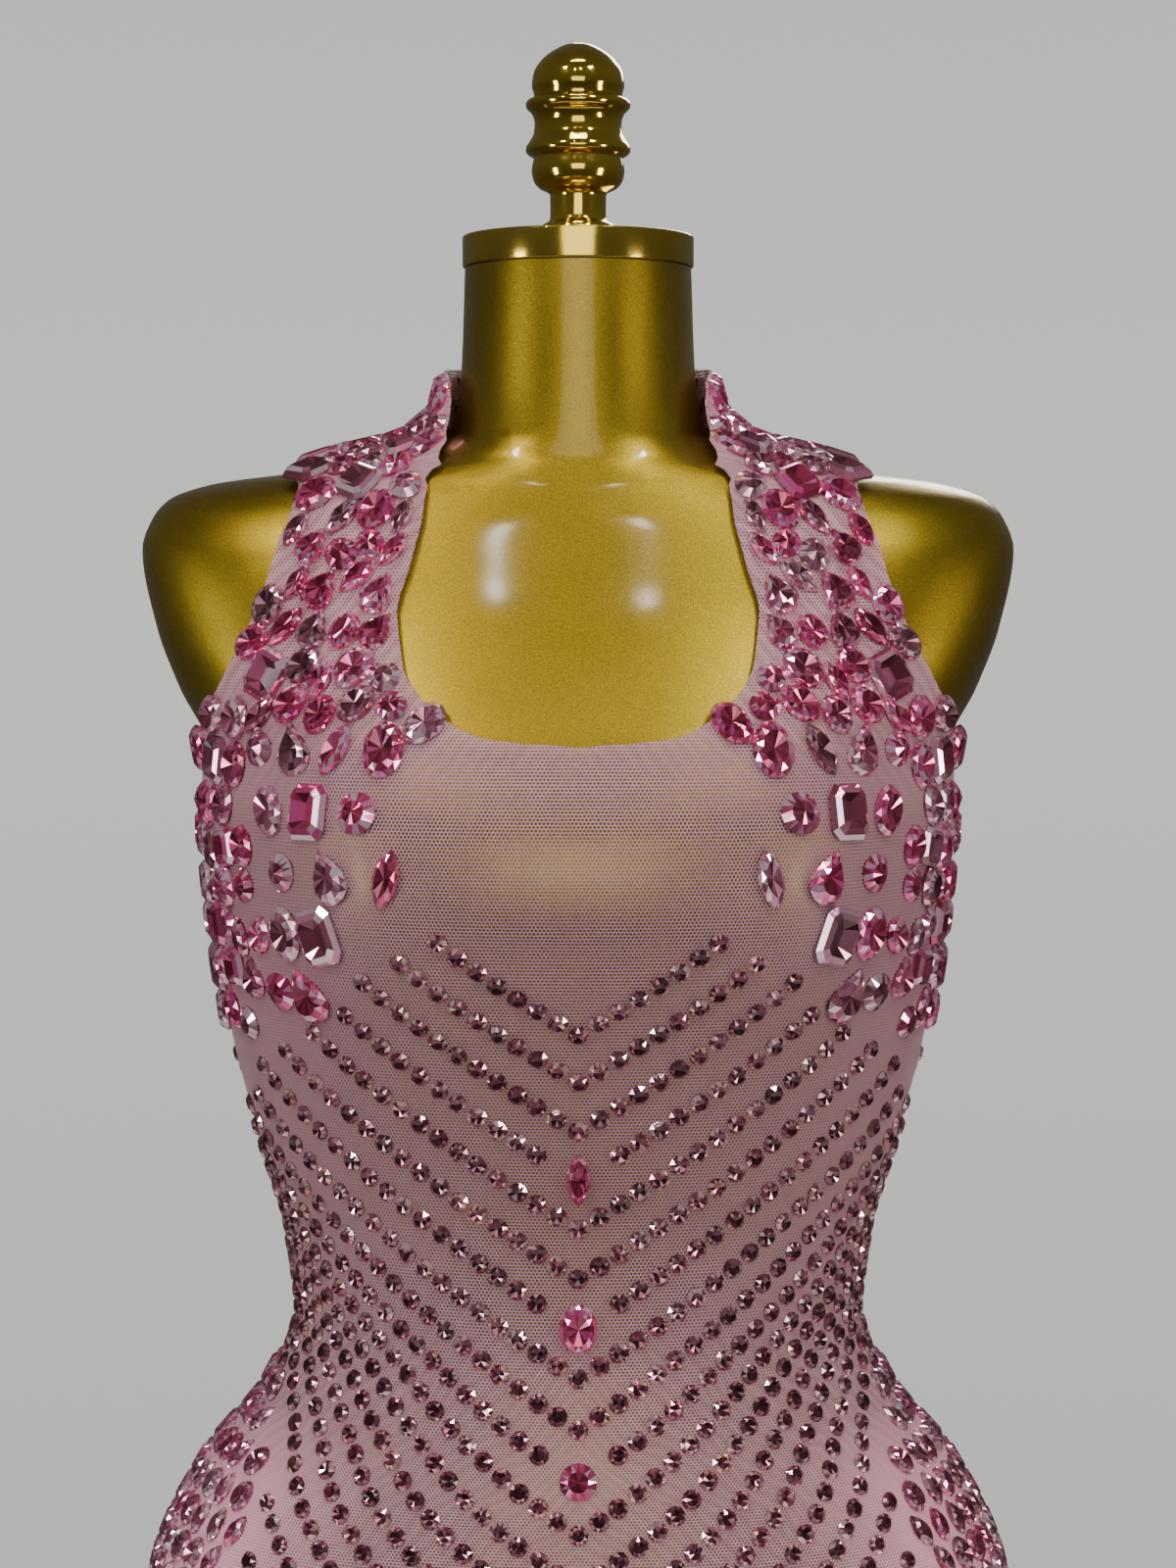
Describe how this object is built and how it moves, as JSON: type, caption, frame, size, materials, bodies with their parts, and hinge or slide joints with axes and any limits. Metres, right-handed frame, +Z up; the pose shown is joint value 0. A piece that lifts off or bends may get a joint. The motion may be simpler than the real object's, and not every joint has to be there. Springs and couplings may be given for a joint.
{
  "type": "bodycon mini dress on a limbless dress form with a stand",
  "caption": "Halter bodycon mini dress of fine net with raised stones, worn on a smooth limbless dress form with a turned finial and a round stand.",
  "frame": {"origin": "centre of the underside of the stand's round base plate, at floor level", "axes": "+Z up along the neck and the pole, -Y out of the front of the dress, +X to the viewer's right when looking at the front"},
  "size_m": [0.3594, 0.3, 1.1231],
  "materials": {
    "form_paint": "pearl gold paint with a gloss coat",
    "cap_gold": "polished gold plate",
    "finial_gold": "polished gold plate",
    "pole_gold": "satin gold plate on steel",
    "plate_gold": "satin gold paint on steel",
    "front_cloth": "dusty pink power net with foiled stones",
    "back_cloth": "dusty pink power net with foiled stones"
  },
  "bodies": {
    "root": {"form_torso": "form_paint", "neck_cap": "cap_gold", "finial": "finial_gold", "stand_pole": "pole_gold", "stand_base": "plate_gold", "dress_front": "front_cloth", "dress_back": "back_cloth"}
  },
  "joints": []
}
